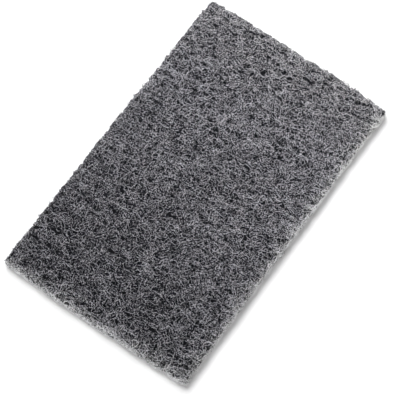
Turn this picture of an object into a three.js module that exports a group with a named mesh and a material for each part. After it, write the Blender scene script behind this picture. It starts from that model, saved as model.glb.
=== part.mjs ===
// Abrasive hand pad: one springy web of crimped fibre, cut to a rectangle and lying flat.
// Millimetres, +Y along the pad, +Z up, base on z = 0.

import * as THREE from 'three';
import { ImprovedNoise } from 'three/addons/math/ImprovedNoise.js';
import { mergeVertices } from 'three/addons/utils/BufferGeometryUtils.js';

// Cut size
const padLength = 238;
const padWidth = 147;
const padThickness = 10;

// Cut outline
const cornerRadius = 3;
const endBow = 1.2; // the short ends swell by this at their middle
const endSlant = 3; // the near end is cut this much out of square
const outlineWander = 1; // slow in and out of the cut along every edge
const wanderSpan = 70; // distance between two swings of that wander

// Soft rim between the faces and the cut sides
const rimRadius = 3;
const sideDent = 0.7; // raggedness of the cut sides
const dentSpan = 7;

// Lofty faces
const hollowDepth = 1.3; // deepest hollow of the web
const hollowSpan = 8; // from one hollow to the next
const hollowWeight = 1.4;
const dimpleSpan = 3.5; // finer dimples between the hollows
const dimpleWeight = 0.7;
const restShare = 0.65; // share of the hollows' depth that lies pressed shut underneath

// Facets
const columns = 38;
const rows = 58;
const rimSteps = 2;
const rimCrowding = 0.3; // how much the grid tightens towards the rim

// Slices of the noise, one for each surface
const topSlice = 1.5;
const baseSlice = 6.5;
const longEdgeSlice = 4.4;
const endSlice = 7.7;

const noise = new ImprovedNoise();

// Depth of the web's hollows at a place, from 0 on a tuft to 1 at the bottom of a hollow.
function hollow(x, y, slice) {
  const broad = noise.noise(x / hollowSpan, y / hollowSpan, slice);
  const fine = noise.noise(x / dimpleSpan, y / dimpleSpan, slice);
  return THREE.MathUtils.clamp((1 + hollowWeight * broad + dimpleWeight * fine) / 2, 0, 1);
}

// Place of a grid line across the pad, from -1 to 1.
function gridShare(index, count) {
  const even = 2 * index / count - 1;
  return THREE.MathUtils.lerp(even, Math.sin(even * Math.PI / 2), rimCrowding);
}

// A point of the round-cornered rectangle that lies inset inside the cut outline.
function planPoint(shareX, shareY, inset) {
  const half = new THREE.Vector2(padWidth / 2 - inset, padLength / 2 - inset);
  const radius = Math.max(cornerRadius - inset, 0);
  const straight = half.clone().subScalar(radius);
  const point = new THREE.Vector2(shareX, shareY).multiply(half);
  const inner = point.clone().clamp(straight.clone().negate(), straight);
  const reach = point.sub(inner);
  reach.setLength(Math.max(Math.abs(reach.x), Math.abs(reach.y)));
  return inner.add(reach);
}

// The hand-guided cut: bowed ends, a slanted near end and a slow wander, fading inside the pad.
function wander(point, shareX, shareY) {
  const along = noise.noise(point.y / wanderSpan, shareX, longEdgeSlice);
  const across = noise.noise(point.x / wanderSpan, shareY, endSlice);
  const slant = endSlant / 2 * shareX * (1 - shareY) / 2;
  point.x += shareX * outlineWander * along;
  point.y += shareY * (outlineWander * across - endBow * shareX * shareX) + slant;
  return point;
}

// One point of the skin. The step is a row of the rim's profile, which runs from the top
// face round the cut side to the base.
function skinPoint(shareX, shareY, step) {
  const dent = sideDent * noise.noise(shareX * padWidth / dentSpan, shareY * padLength / dentSpan, step.z);
  const inset = step.inset + (1 - step.top - step.base) * Math.abs(dent);
  const plan = wander(planPoint(shareX, shareY, inset), shareX, shareY);
  const sunk = step.top * hollow(plan.x, plan.y, topSlice);
  const lifted = step.base * Math.max(hollow(plan.x, plan.y, baseSlice) - restShare, 0);
  return new THREE.Vector3(plan.x, plan.y, step.z + hollowDepth * (lifted - sunk));
}

// Rows of the rim: the upper quarter round, the middle of the cut side, the lower quarter round.
function rimProfile() {
  const profile = [];
  for (let i = 0; i <= rimSteps; i++) {
    const angle = Math.PI / 2 * (1 - i / rimSteps);
    const inset = rimRadius * (1 - Math.cos(angle));
    const drop = rimRadius * (1 - Math.sin(angle));
    profile.push({ inset, z: padThickness - drop, top: Math.sin(angle), base: 0 });
  }
  const lower = profile.map(({ inset, z, top }) => ({ inset, z: padThickness - z, top: 0, base: top }));
  profile.push({ inset: 0, z: padThickness / 2, top: 0, base: 0 });
  return profile.concat(lower.reverse());
}

// Grid places round the edge of a face, anticlockwise seen from above.
function rimPlaces() {
  const places = [];
  for (let i = 0; i < columns; i++) places.push([i, 0]);
  for (let j = 0; j < rows; j++) places.push([columns, j]);
  for (let i = columns; i > 0; i--) places.push([i, rows]);
  for (let j = rows; j > 0; j--) places.push([0, j]);
  return places.map(([i, j]) => [gridShare(i, columns), gridShare(j, rows)]);
}

// The closed skin of the pad: top face, base and the rim between them.
function padSkin() {
  const corners = [];
  const addQuad = (a, b, c, d) => corners.push(a, b, c, a, c, d);
  const profile = rimProfile();

  const addFace = (step, upward) => {
    for (let i = 0; i < columns; i++) {
      for (let j = 0; j < rows; j++) {
        const ring = [[i, j], [i + 1, j], [i + 1, j + 1], [i, j + 1]];
        const points = ring.map(([p, q]) => skinPoint(gridShare(p, columns), gridShare(q, rows), step));
        if (!upward) points.reverse();
        if ((i + j) % 2) points.push(points.shift());
        addQuad(...points);
      }
    }
  };
  addFace(profile[0], true);
  addFace(profile[profile.length - 1], false);

  const places = rimPlaces();
  places.forEach((place, i) => {
    const next = places[(i + 1) % places.length];
    for (let k = 0; k + 1 < profile.length; k++) {
      const upper = profile[k];
      const lower = profile[k + 1];
      addQuad(
        skinPoint(...place, lower),
        skinPoint(...next, lower),
        skinPoint(...next, upper),
        skinPoint(...place, upper),
      );
    }
  });

  const loose = new THREE.BufferGeometry().setFromPoints(corners);
  const skin = mergeVertices(loose);
  skin.computeVertexNormals();
  return skin;
}

// Centres the cut outline on the origin and leaves the base on z = 0.
function centred(geometry) {
  geometry.computeBoundingBox();
  const middle = geometry.boundingBox.getCenter(new THREE.Vector3());
  return geometry.translate(-middle.x, -middle.y, -geometry.boundingBox.min.z);
}

const web = new THREE.MeshStandardMaterial({ color: '#67676c', roughness: 0.95, metalness: 0 });

const abrasivePad = new THREE.Mesh(centred(padSkin()), web);
abrasivePad.name = 'abrasive_pad';

const handPad = new THREE.Group();
handPad.add(abrasivePad);

export default handPad;
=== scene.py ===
import math
import random
from collections import Counter

import bpy
import numpy as np
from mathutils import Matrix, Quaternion, Vector, noise
from mathutils.bvhtree import BVHTree


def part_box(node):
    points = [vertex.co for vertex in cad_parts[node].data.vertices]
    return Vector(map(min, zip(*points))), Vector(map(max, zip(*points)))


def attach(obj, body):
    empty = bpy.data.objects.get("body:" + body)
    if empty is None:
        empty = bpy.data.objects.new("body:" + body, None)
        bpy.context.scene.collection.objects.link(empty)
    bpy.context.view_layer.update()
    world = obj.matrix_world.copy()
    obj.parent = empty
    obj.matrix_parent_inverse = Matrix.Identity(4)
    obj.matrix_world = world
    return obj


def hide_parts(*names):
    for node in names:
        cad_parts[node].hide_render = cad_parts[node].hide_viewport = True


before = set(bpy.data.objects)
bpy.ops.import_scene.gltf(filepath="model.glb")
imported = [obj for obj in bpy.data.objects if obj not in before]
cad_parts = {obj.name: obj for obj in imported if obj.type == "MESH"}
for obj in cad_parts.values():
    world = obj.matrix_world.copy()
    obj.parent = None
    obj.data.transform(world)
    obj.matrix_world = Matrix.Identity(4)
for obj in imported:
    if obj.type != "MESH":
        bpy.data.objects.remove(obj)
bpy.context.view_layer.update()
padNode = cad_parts["abrasive_pad"]
_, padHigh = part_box("abrasive_pad")
bpy.context.scene.view_settings.view_transform = "Standard"
print("frame loaded")


# Camera

cameraSettings = {
    "azimuth": math.radians(36),
    "elevation": math.radians(69.6),
    "distance": 1.076,
    "lens": 143.35,
    "sensor": 36,
    "aim": Vector((0.00561, -0.00597, 0)),
}


def directionTo(azimuth, elevation):
    flat = math.cos(elevation)
    return Vector((flat * math.sin(azimuth), -flat * math.cos(azimuth), math.sin(elevation)))


def makeCamera(s):
    place = directionTo(s["azimuth"], s["elevation"]) * s["distance"]
    bpy.ops.object.camera_add(location=place)
    camera = bpy.context.object
    camera.name = "padCamera"
    camera.rotation_euler = (s["aim"] - place).to_track_quat("-Z", "Y").to_euler()
    camera.data.lens = s["lens"]
    camera.data.sensor_width = s["sensor"]
    bpy.context.scene.camera = camera
    print("camera placed")


makeCamera(cameraSettings)


# Small helpers

def only(piece):
    bpy.ops.object.select_all(action="DESELECT")
    piece.select_set(True)
    bpy.context.view_layer.objects.active = piece


def applyModifier(piece, kind, **values):
    only(piece)
    modifier = piece.modifiers.new(kind.title(), kind)
    for name, value in values.items():
        setattr(modifier, name, value)
    bpy.ops.object.modifier_apply(modifier=modifier.name)


def setPointValues(mesh, name, values):
    attribute = mesh.attributes.new(name, "FLOAT", "POINT")
    attribute.data.foreach_set("value", np.asarray(values, np.float32))


def addNode(tree, kind, place, **values):
    node = tree.nodes.new(kind)
    node.location = place
    for name, value in values.items():
        setattr(node, name, value)
    return node


# Each socket takes a link from another socket, or a plain value.
def fillSockets(tree, sockets, values):
    for socket, value in zip(sockets, values):
        if isinstance(value, bpy.types.NodeSocket):
            tree.links.new(value, socket)
        else:
            socket.default_value = value


def addMath(tree, operation, place, *values):
    node = addNode(tree, "ShaderNodeMath", place, operation=operation)
    fillSockets(tree, node.inputs, values)
    return node.outputs[0]


def addMix(tree, place, factor, first, second, blend="MIX"):
    node = addNode(tree, "ShaderNodeMix", place, data_type="RGBA", blend_type=blend)
    fillSockets(tree, (node.inputs[0], node.inputs[6], node.inputs[7]), (factor, first, second))
    return node.outputs[2]


def addPattern(tree, kind, place, where, scale, detail=0):
    node = addNode(tree, kind, place)
    node.inputs["Scale"].default_value = scale
    node.inputs["Detail"].default_value = detail
    tree.links.new(where, node.inputs["Vector"])
    return node.outputs


# Web tone: the greys that the strands and the inside share

toneSettings = {
    "resinScale": 1050,  # resin lies thicker in places
    "resinDetail": 2,
    "resinSwing": 9.4,
    "gritScale": 2200,  # abrasive grains
    "gritSwing": 1.5,
    "coatScale": 45,  # uneven spray coat
    "coatDetail": 3,
    "coatSwing": 0.15,
    "bareLift": 1,  # the cut bares paler fibre
    "dullest": 0.95,  # roughness where there is no resin
    "resinGloss": -0.25,
    "gritLump": 0.5,  # height of the grains over the resin
}


def makeToneGroup(s):
    tree = bpy.data.node_groups.new("webTone", "ShaderNodeTree")
    for name, kind, value in (
        ("Dark", "NodeSocketColor", (0.1, 0.1, 0.11, 1)),
        ("Light", "NodeSocketColor", (0.4, 0.4, 0.42, 1)),
        ("Cut Dark", "NodeSocketColor", (0.2, 0.2, 0.2, 1)),
        ("Cut Light", "NodeSocketColor", (0.5, 0.5, 0.5, 1)),
        ("Tone", "NodeSocketFloat", 0.5),
        ("Cut", "NodeSocketFloat", 0.0),
        ("Painted Light", "NodeSocketFloat", 0.25),
    ):
        tree.interface.new_socket(name, in_out="INPUT", socket_type=kind).default_value = value
    tree.interface.new_socket("Color", in_out="OUTPUT", socket_type="NodeSocketColor")
    tree.interface.new_socket("Roughness", in_out="OUTPUT", socket_type="NodeSocketFloat")
    tree.interface.new_socket("Height", in_out="OUTPUT", socket_type="NodeSocketFloat")
    given = addNode(tree, "NodeGroupInput", (-1200, 0)).outputs
    result = addNode(tree, "NodeGroupOutput", (900, 0)).inputs
    where = addNode(tree, "ShaderNodeTexCoord", (-1200, -400)).outputs["Object"]

    resin = addPattern(tree, "ShaderNodeTexNoise", (-900, -200), where, s["resinScale"], s["resinDetail"])
    coat = addPattern(tree, "ShaderNodeTexNoise", (-900, -800), where, s["coatScale"], s["coatDetail"])
    grit = addPattern(tree, "ShaderNodeTexVoronoi", (-900, -500), where, s["gritScale"])
    grain = addNode(tree, "ShaderNodeSeparateColor", (-650, -500))
    tree.links.new(grit["Color"], grain.inputs[0])

    # Tone of the place: the strand's own, swung by resin, grains and coat
    resinStep = addMath(tree, "SUBTRACT", (-650, -200), resin["Fac"], 0.5)
    gritStep = addMath(tree, "SUBTRACT", (-450, -500), grain.outputs["Red"], 0.5)
    coatStep = addMath(tree, "SUBTRACT", (-650, -800), coat["Fac"], 0.5)
    tone = addMath(tree, "MULTIPLY_ADD", (-450, -200), resinStep, s["resinSwing"], given["Tone"])
    tone = addMath(tree, "MULTIPLY_ADD", (-250, -200), gritStep, s["gritSwing"], tone)
    tone = addMath(tree, "MULTIPLY_ADD", (-100, -200), coatStep, s["coatSwing"], tone)

    # Colour, coated or cut, with painted light: lighter towards the far end, as if lit more there
    coated = addMix(tree, (50, 100), tone, given["Dark"], given["Light"])
    bare = addMath(tree, "ADD", (-100, -350), tone, s["bareLift"])
    cut = addMix(tree, (50, -150), bare, given["Cut Dark"], given["Cut Light"])
    both = addMix(tree, (300, 0), given["Cut"], coated, cut)
    parts = addNode(tree, "ShaderNodeSeparateXYZ", (-900, -1050))
    tree.links.new(where, parts.inputs[0])
    along = addMath(tree, "DIVIDE", (-650, -1050), parts.outputs["Y"], padHigh.y)
    paintedLightGain = addMath(tree, "MULTIPLY_ADD", (-450, -1050), along, given["Painted Light"], 1)
    withPaintedLight = addMix(tree, (500, 0), 1, both, paintedLightGain, "MULTIPLY")
    withPaintedLight.node.clamp_result = True  # no colour past white
    tree.links.new(withPaintedLight, result["Color"])

    rough = addMath(tree, "MULTIPLY_ADD", (300, -300), resin["Fac"], s["resinGloss"], s["dullest"])
    tree.links.new(rough, result["Roughness"])
    lump = addMath(tree, "MULTIPLY_ADD", (300, -500), gritStep, s["gritLump"], resin["Fac"])
    tree.links.new(lump, result["Height"])
    return tree


toneGroup = makeToneGroup(toneSettings)

strandFinish = {
    "Dark": (0.02, 0.0195, 0.029),
    "Light": (0.88, 0.871, 0.936),
    "Cut Dark": (0.02, 0.02, 0.022),
    "Cut Light": (0.95, 0.95, 0.96),
    # painted light: the colour is lightened towards the far end
    "paintedLight": 0.12,
    "shine": 0.08,
    "bump": 0.5,
    "bumpDepth": 0.0002,
}
# painted shade: the inside is coloured near black, standing in for the shade deep in the web
coreFinish = {
    "Dark": (0.009, 0.009, 0.0105),
    "Light": (0.026, 0.026, 0.03),
    "Cut Dark": (0.02, 0.02, 0.022),
    "Cut Light": (0.08, 0.08, 0.082),
    # painted light: the colour is lightened towards the far end
    "paintedLight": 0.28,
    "shine": 0.0,
    "bump": 0.8,
    "bumpDepth": 0.0002,
}


def makeWebMaterial(name, s):
    material = bpy.data.materials.new(name)
    material.use_nodes = True
    tree = material.node_tree
    shader = tree.nodes["Principled BSDF"]
    shader.inputs["Specular IOR Level"].default_value = s["shine"]
    tone = addNode(tree, "ShaderNodeGroup", (-400, 200), node_tree=toneGroup)
    for socket in ("Dark", "Light", "Cut Dark", "Cut Light"):
        tone.inputs[socket].default_value = (*s[socket], 1)
    tone.inputs["Painted Light"].default_value = s["paintedLight"]
    shade = addNode(tree, "ShaderNodeAttribute", (-700, 200), attribute_name="strandTone")
    cut = addNode(tree, "ShaderNodeAttribute", (-700, 0), attribute_name="cutSide")
    tree.links.new(shade.outputs["Fac"], tone.inputs["Tone"])
    tree.links.new(cut.outputs["Fac"], tone.inputs["Cut"])
    tree.links.new(tone.outputs["Color"], shader.inputs["Base Color"])
    tree.links.new(tone.outputs["Roughness"], shader.inputs["Roughness"])
    bump = addNode(tree, "ShaderNodeBump", (-200, -200))
    bump.inputs["Strength"].default_value = s["bump"]
    bump.inputs["Distance"].default_value = s["bumpDepth"]
    tree.links.new(tone.outputs["Height"], bump.inputs["Height"])
    tree.links.new(bump.outputs["Normal"], shader.inputs["Normal"])
    return material


strandMaterial = makeWebMaterial("coatedStrand", strandFinish)
coreMaterial = makeWebMaterial("shadedWeb", coreFinish)
print("web materials ready")


# Cut sides: the two near ones are frayed pale, the far ones stay dark

cutSettings = {
    "toNear": directionTo(math.radians(36), 0),  # level direction that the near sides face
    "nearGain": 2,
    "nearLimit": 0.2,  # sides turned that way by less are far ones
    "steep": 0.6,  # upward share of a normal, past which it is a face and no cut side
    "farShare": 0.15,  # paleness of the far sides
    "farReach": 0.003,
    "farTone": 0.8,  # the far sides are darkest at their rims
    "reach": 0.006,  # how far in from the cut its paleness goes
    "leastReach": 0.2,
    "stray": 1.0,  # single strands carry it further in or less far
    "patch": 0.5,  # and so do whole patches of the edge
    "patchSize": 0.0066,
}


# How much a cut side with this normal is turned to the near sides.
def nearness(normal):
    return min(max(cutSettings["nearGain"] * normal.dot(cutSettings["toNear"]), 0), 1)


def onTop(normal):
    return normal.z > cutSettings["steep"]


def onBase(normal):
    return normal.z < -cutSettings["steep"]


def onCut(normal):
    return not onTop(normal) and not onBase(normal)


def onNearSide(normal):
    return onCut(normal) and nearness(normal) >= cutSettings["nearLimit"]


def onFarSide(normal):
    return onCut(normal) and nearness(normal) < cutSettings["nearLimit"]


# The pad's own surface, for strands to start on and to keep to
class Skin:
    def __init__(self, node):
        mesh = node.data
        mesh.calc_loop_triangles()
        self.corners = [v.co.copy() for v in mesh.vertices]
        self.triangles = [tuple(t.vertices) for t in mesh.loop_triangles]
        self.areas = [t.area for t in mesh.loop_triangles]
        self.normals = [t.normal.copy() for t in mesh.loop_triangles]
        self.tree = BVHTree.FromPolygons(self.corners, self.triangles)
        cutFaces = [self.triangles[i] for i in self.facing(onCut)]
        self.cutTree = BVHTree.FromPolygons(self.corners, cutFaces)

    def facing(self, wanted):
        return [i for i, normal in enumerate(self.normals) if wanted(normal)]

    def area(self, wanted):
        return sum(self.areas[i] for i in self.facing(wanted))

    # Random spots on the faces that are wanted, with their normals
    def spots(self, rng, wanted, count):
        chosen = self.facing(wanted)
        for i in rng.choices(chosen, weights=[self.areas[k] for k in chosen], k=count):
            a, b, c = (self.corners[k] for k in self.triangles[i])
            p, q = sorted((rng.random(), rng.random()))
            yield a * p + b * (q - p) + c * (1 - q), self.normals[i]


skin = Skin(padNode)


# How pale a place is for lying near a cut side, and how much it darkens near a far rim.
def cutShare(place, s, stray=0):
    found, normal, _, away = skin.cutTree.find_nearest(place)
    if (place - found).dot(normal) > 0:
        away = 0
    near = nearness(normal)
    patch = noise.noise(place / s["patchSize"])
    reach = s["reach"] * max(1 + stray + s["patch"] * patch, s["leastReach"])
    pale = (s["farShare"] + (1 - s["farShare"]) * near) * max(1 - away / reach, 0)
    shade = s["farTone"] * (1 - near) * max(1 - away / s["farReach"], 0)
    return pale, shade


# Inside of the web: the pad's own solid, sunk under the strands and roughened

coreSettings = {
    "weld": 1e-6,
    "voxel": 0.0016,
    "tone": 0.4,
    "sunk": 0.0014,
    "lumpSize": 0.0028,
    "lumpHeight": 0.0016,
    "pitSize": 0.0011,
    "pitHeight": 0.0007,
}


def makeCore(s):
    core = bpy.data.objects.new("webCore", padNode.data.copy())
    bpy.context.scene.collection.objects.link(core)
    only(core)
    bpy.ops.object.mode_set(mode="EDIT")
    bpy.ops.mesh.select_all(action="SELECT")
    bpy.ops.mesh.remove_doubles(threshold=s["weld"])
    bpy.ops.object.mode_set(mode="OBJECT")
    applyModifier(core, "REMESH", mode="VOXEL", voxel_size=s["voxel"])
    setPointValues(core.data, "cutSide", [cutShare(v.co, cutSettings)[0] for v in core.data.vertices])
    setPointValues(core.data, "strandTone", np.full(len(core.data.vertices), s["tone"]))
    applyModifier(core, "DISPLACE", strength=-s["sunk"], mid_level=0)
    for relief in ("lump", "pit"):
        texture = bpy.data.textures.new(relief, "CLOUDS")
        texture.noise_scale = s[relief + "Size"]
        height = s[relief + "Height"]
        applyModifier(core, "DISPLACE", texture=texture, texture_coords="LOCAL", strength=height)
    bpy.ops.object.shade_smooth()
    core.data.materials.clear()
    core.data.materials.append(coreMaterial)
    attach(core, "root")
    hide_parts("abrasive_pad")
    print("core made,", len(core.data.polygons), "faces")


makeCore(coreSettings)


# Strands: crimped fibres that wander over the pad's skin, over and under each other

strandSettings = {
    "radius": 0.000125,
    "step": 0.0011,
    "steps": 14,
    "curl": 0.6,  # random turn at each step, in radians
    "bias": 0.2,  # how strongly a strand keeps to one way round
    "tries": 10,  # ways ahead that a strand looks at, to take the emptiest
    "cell": 0.0007,  # size of the cells in which strands are counted
    "startCell": 0.004,
    "hollowSize": Vector((0.0078, 0.0027, 0.0027)),  # the hollows between tufts run across the pad
    "hollowTilt": math.radians(10),
    "hollowDepth": 0.0004,
    "hollowShade": 0.1,  # painted shade: hollows are toned darker, as they catch less light
    "hollowAvoid": 2.4,  # how strongly strands keep out of them
    "sway": 0.0004,  # a strand dips and rises by this
    "swayStep": 2.0,
    "rise": 1,  # how freely a strand climbs on a cut side
    "bite": 0.0032,  # raggedness of the far rims
    "biteSize": 0.0025,
    "paintedLightAcross": 0.04,  # painted light: paler towards the right-hand side, as if lit more from there
    "paintedLightAlong": 0.26,  # and painted light towards the far end
    "contactShade": 1.5,  # painted shade: the lower edge of the cut is darker, where it meets the floor
    "contactShadeReach": 0.004,
    "tip": 0.4,  # thickness left at a strand's ends
    "taper": 4,  # how fast it thickens from there
    "sides": 3,
    "cellShape": 4,  # a strand's cell in the bake's map is this much longer than wide, in pixels
    "cellFill": 0.8,
    "seed": 11,
}


def makeTubeTree(sides):
    tree = bpy.data.node_groups.new("strandTube", "GeometryNodeTree")
    tree.interface.new_socket("Geometry", in_out="INPUT", socket_type="NodeSocketGeometry")
    tree.interface.new_socket("Geometry", in_out="OUTPUT", socket_type="NodeSocketGeometry")
    lines = addNode(tree, "NodeGroupInput", (-600, 0))
    curve = addNode(tree, "GeometryNodeMeshToCurve", (-400, 0))
    girth = addNode(tree, "GeometryNodeInputNamedAttribute", (-400, -400), data_type="FLOAT")
    girth.inputs["Name"].default_value = "girth"
    section = addNode(tree, "GeometryNodeCurvePrimitiveCircle", (-400, -200))
    section.inputs["Resolution"].default_value = sides
    section.inputs["Radius"].default_value = 1
    tube = addNode(tree, "GeometryNodeCurveToMesh", (-100, 0))
    tube.inputs["Fill Caps"].default_value = True
    result = addNode(tree, "NodeGroupOutput", (200, 0))
    tree.links.new(lines.outputs[0], curve.inputs[0])
    tree.links.new(curve.outputs[0], tube.inputs["Curve"])
    tree.links.new(section.outputs["Curve"], tube.inputs["Profile Curve"])
    tree.links.new(girth.outputs["Attribute"], tube.inputs["Scale"])
    tree.links.new(tube.outputs[0], result.inputs[0])
    return tree


tubeTree = makeTubeTree(strandSettings["sides"])


# How deep a place lies in one of the web's hollows, from 0 on a tuft downwards.
def hollowAt(place, s):
    turned = place.copy()
    turned.rotate(Quaternion((0, 0, 1), -s["hollowTilt"]))
    return min(noise.noise(Vector(c / size for c, size in zip(turned, s["hollowSize"]))), 0)


# How deep the ragged far rims are bitten at a place, from 0 downwards.
def biteAt(place, normal, s):
    return min(noise.noise(place / s["biteSize"]), 0) * (1 - nearness(normal)) * (1 - abs(normal.z))


def cellOf(place, size):
    return tuple(int(c // size) for c in place)


# The emptiest of several ways ahead, and rather not into a hollow.
def wayAhead(rng, crowd, place, normal, heading, bias, s):
    ways = []
    for _ in range(s["tries"]):
        way = heading.copy()
        way.rotate(Quaternion(normal, bias + rng.gauss(0, s["curl"])))
        near = crowd[cellOf(place + way * s["step"], s["cell"])]
        far = crowd[cellOf(place + way * 2 * s["step"], s["cell"])]
        hollow = hollowAt(place + way * s["step"], s)
        ways.append((near + far - s["hollowAvoid"] * hollow + rng.random(), way))
    return min(ways, key=lambda w: w[0])[1]


def layStrand(rng, crowd, place, normal, layer, s):
    heading = normal.orthogonal().normalized()
    heading.rotate(Quaternion(normal, rng.uniform(0, math.tau)))
    bias = rng.gauss(0, s["bias"])
    depth = rng.uniform(*layer["depth"])
    phase = rng.uniform(0, math.tau)
    points = []
    hollows = []
    for i in range(s["steps"]):
        hollow = hollowAt(place, s)
        sway = math.sin(phase + i * s["swayStep"])
        lift = s["hollowDepth"] * hollow + s["sway"] * sway + s["bite"] * biteAt(place, normal, s)
        point = place + normal * (depth + lift)
        point.z = max(point.z, s["radius"] * layer["girth"][1])  # none dips into the floor
        points.append(point)
        hollows.append(hollow)
        crowd[cellOf(place, s["cell"])] += 1
        heading = wayAhead(rng, crowd, place, normal, heading, bias, s)
        place, normal, _, _ = skin.tree.find_nearest(place + heading * s["step"])
        heading -= normal * heading.dot(normal)
        heading.z *= s["rise"]
        heading.normalize()
    return points, hollows


# The map for baking: every strand has a cell of its own, along it in u and round it in v.
def addBakeMap(mesh, count, s):
    corners = np.empty(len(mesh.loops), np.int32)
    mesh.loops.foreach_get("vertex_index", corners)
    sizes = np.empty(len(mesh.polygons), np.int32)
    mesh.polygons.foreach_get("loop_total", sizes)
    face = np.repeat(np.arange(len(sizes)), sizes)
    strand, rest = np.divmod(corners, s["steps"] * s["sides"])
    ring, side = np.divmod(rest, s["sides"])
    closing = (np.bincount(face, side == 1) == 0)[face]  # faces between the last side and the first
    turn = np.where(closing & (side == 0), s["sides"], side)
    capEnd = (sizes[face] == s["sides"]) & (side == 1)  # the end caps fold out past the strand's ends
    along = ring + np.where(capEnd, np.sign(ring - 1), 0)
    columns = math.ceil(math.sqrt(count / s["cellShape"]))
    rows = math.ceil(count / columns)
    u = (strand % columns + 0.5 + s["cellFill"] * ((along + 1) / (s["steps"] + 1) - 0.5)) / columns
    v = (strand // columns + 0.5 + s["cellFill"] * (turn / s["sides"] - 0.5)) / rows
    mesh.uv_layers.new(name="OFBake").data.foreach_set("uv", np.stack((u, v), 1).ravel())


def makeStrands(name, rng, strands, layer, s):
    steps = s["steps"]
    swell = [min(1, s["tip"] + s["taper"] * min(i, steps - 1 - i) / steps) for i in range(steps)]
    points, girths, tones, cuts = [], [], [], []
    for strandPoints, hollows in strands:
        girth = rng.uniform(*layer["girth"])
        tone = rng.uniform(*layer["tone"])
        points += strandPoints
        girths += [girth * (s["radius"] * t) for t in swell]
        stray = rng.gauss(0, cutSettings["stray"])
        for point, hollow in zip(strandPoints, hollows):
            pale, shade = cutShare(point, cutSettings, stray)
            cuts.append(pale)
            # painted light: the tone is raised towards the right-hand side and the far end
            paintedLight = s["paintedLightAcross"] * point.x / padHigh.x + s["paintedLightAlong"] * point.y / padHigh.y
            # painted shade: the cut is toned darker near the floor
            contactShadeHere = s["contactShade"] * pale * max(1 - point.z / s["contactShadeReach"], 0)
            tones.append(tone + s["hollowShade"] * hollow - shade + paintedLight - contactShadeHere)
    mesh = bpy.data.meshes.new(name)
    mesh.from_pydata(points, [(i, i + 1) for i in range(len(points) - 1) if (i + 1) % steps], [])
    setPointValues(mesh, "girth", girths)
    setPointValues(mesh, "strandTone", tones)
    setPointValues(mesh, "cutSide", cuts)
    piece = bpy.data.objects.new(name, mesh)
    bpy.context.scene.collection.objects.link(piece)
    applyModifier(piece, "NODES", node_group=tubeTree)
    bpy.ops.object.shade_smooth()
    mesh = piece.data
    addBakeMap(mesh, len(strands), s)
    mesh.materials.append(strandMaterial)
    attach(piece, "root")
    mesh.calc_loop_triangles()
    print(name, "laid,", len(strands), "strands,", len(mesh.loop_triangles), "triangles")


def layLayer(layer, s):
    rng = random.Random(layer["name"] + str(s["seed"]))
    crowd = Counter()
    starts = Counter()
    count = int(skin.area(layer["where"]) * layer["density"] / (s["step"] * s["steps"]))
    spots = skin.spots(rng, layer["where"], count * s["tries"])
    strands = []
    for _ in range(count):
        found = [next(spots) for _ in range(s["tries"])]
        place, normal = min(found, key=lambda f: starts[cellOf(f[0], s["startCell"])])
        strands.append(layStrand(rng, crowd, place, normal, layer, s))
        for point in strands[-1][0]:
            starts[cellOf(point, s["startCell"])] += 1
    strands.sort(key=lambda strand: strand[0][0].y)
    share = math.ceil(count / layer["pieces"])
    for i in range(layer["pieces"]):
        makeStrands(layer["name"] + str(i + 1), rng, strands[i * share:(i + 1) * share], layer, s)


# Density is the length of strand on an area, depth is measured out from the skin, girth is in
# strand radii, tone goes from dark to light, and lay changes single strand settings.
webLayers = [
    {
        "name": "webTop",
        "pieces": 3,
        "where": onTop,
        "density": 2450,
        "depth": (-0.0007, 0.0001),
        "girth": (0.7, 1.3),
        "tone": (-0.1, 1.3),
    },
    {
        "name": "webDeep",
        "pieces": 1,
        "where": onTop,
        "density": 650,
        "depth": (-0.0016, -0.0008),
        "girth": (1.1, 1.9),
        # painted shade: the deep strands are toned darker, standing in for the shade under the top ones
        "tone": (-1.3, -0.45),
        "lay": {"step": 0.0013},
    },
    {
        "name": "webFar",
        "pieces": 1,
        "where": onFarSide,
        "density": 2800,
        "depth": (-0.0008, 0.0003),
        "girth": (1.2, 2.0),
        "tone": (-0.4, 0.3),
        "lay": {"hollowDepth": 0.0018, "rise": 3},
    },
    {
        "name": "webFarFray",
        "pieces": 1,
        "where": onFarSide,
        "density": 500,
        "depth": (-0.0002, 0.0009),
        "girth": (1.2, 2.0),
        "tone": (-0.3, 0.3),
        "lay": {"sway": 0.0006, "rise": 3},
    },
    {
        "name": "webShade",
        "pieces": 1,
        "where": onNearSide,
        "density": 2200,
        "depth": (-0.0018, -0.0006),
        "girth": (1.1, 1.9),
        "tone": (-2.6, -1.3),
    },
    {
        "name": "webNear",
        "pieces": 1,
        "where": onNearSide,
        "density": 1500,
        "depth": (-0.0014, 0.0003),
        "girth": (1.2, 2.2),
        "tone": (0.9, 1.8),
        "lay": {"sway": 0.0007, "swayStep": 1.9, "rise": 0.4},
    },
    {
        "name": "webBase",
        "pieces": 1,
        "where": onBase,
        "density": 700,
        "depth": (-0.0007, 0.0001),
        "girth": (1.2, 2.0),
        "tone": (0.2, 0.45),
        "lay": {"step": 0.0013},
    },
]
for layer in webLayers:
    layLayer(layer, strandSettings | layer.get("lay", {}))


# Floor, world and lamps

stageSettings = {
    "floorSize": 12,
    "floorColour": (1, 1, 1, 1),
    "floorGlow": 0.1,
    "sky": 0.2,
    "sunDistance": 2,
    "sunStrength": 2.1,
    "sunTurn": math.radians(33),
    "sunElevation": math.radians(63),
    "sunSpread": math.radians(36),
    "fillStrength": 3.0,
    "fillTurn": math.radians(-22),
    "fillElevation": math.radians(4),
    "fillSpread": math.radians(15),
    "endPower": 0.6,
    "endSize": 0.3,
    "endPlace": Vector((-0.12, 0.2, 0.35)),
    "endAim": Vector((0, 0.06, 0)),
}


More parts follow.
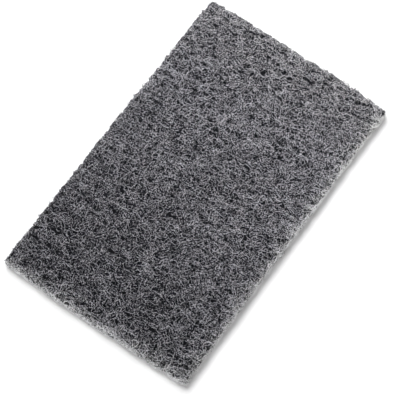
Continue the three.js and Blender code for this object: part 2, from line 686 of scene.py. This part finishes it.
def makeFloor(s):
    bpy.ops.mesh.primitive_plane_add(size=s["floorSize"])
    floor = bpy.context.object
    floor.name = "paleFloor"
    material = bpy.data.materials.new("paleFloor")
    material.use_nodes = True
    tree = material.node_tree
    shader = tree.nodes["Principled BSDF"]
    shader.inputs["Base Color"].default_value = s["floorColour"]
    shader.inputs["Roughness"].default_value = 1
    shader.inputs["Specular IOR Level"].default_value = 0
    shader.inputs["Emission Color"].default_value = (1, 1, 1, 1)
    ray = addNode(tree, "ShaderNodeLightPath", (-600, -200)).outputs
    seen = addMath(tree, "MAXIMUM", (-400, -200), ray["Is Camera Ray"], ray["Is Glossy Ray"])
    glow = addMath(tree, "MULTIPLY", (-200, -200), seen, s["floorGlow"])
    tree.links.new(glow, shader.inputs["Emission Strength"])
    floor.data.materials.append(material)


def makeWorld(s):
    world = bpy.data.worlds.new("studio")
    bpy.context.scene.world = world
    world.use_nodes = True
    tree = world.node_tree
    ray = addNode(tree, "ShaderNodeLightPath", (-800, 0)).outputs
    seen = addMath(tree, "MAXIMUM", (-600, 0), ray["Is Camera Ray"], ray["Is Glossy Ray"])
    seen = addMath(tree, "MAXIMUM", (-400, 0), seen, ray["Is Transmission Ray"])
    strength = addMath(tree, "MULTIPLY_ADD", (-200, 0), seen, 1 - s["sky"], s["sky"])
    background = tree.nodes["Background"]
    background.inputs["Color"].default_value = (1, 1, 1, 1)
    tree.links.new(strength, background.inputs["Strength"])


def addSun(name, toSun, strength, spread):
    bpy.ops.object.light_add(type="SUN", location=toSun * stageSettings["sunDistance"])
    sun = bpy.context.object
    sun.name = name
    sun.rotation_euler = toSun.to_track_quat("Z", "Y").to_euler()
    sun.data.energy = strength
    sun.data.angle = spread


def makeLamps(s):
    front = cameraSettings["azimuth"]
    toSun = directionTo(front + math.pi + s["sunTurn"], s["sunElevation"])
    addSun("softSun", toSun, s["sunStrength"], s["sunSpread"])
    toFill = directionTo(front + s["fillTurn"], s["fillElevation"])
    addSun("lowFill", toFill, s["fillStrength"], s["fillSpread"])
    bpy.ops.object.light_add(type="AREA", location=s["endPlace"])
    lamp = bpy.context.object
    lamp.name = "endLamp"
    lamp.data.size = s["endSize"]
    lamp.data.energy = s["endPower"]
    lamp.rotation_euler = (s["endAim"] - s["endPlace"]).to_track_quat("-Z", "Y").to_euler()


makeFloor(stageSettings)
makeWorld(stageSettings)
makeLamps(stageSettings)
print("stage ready")
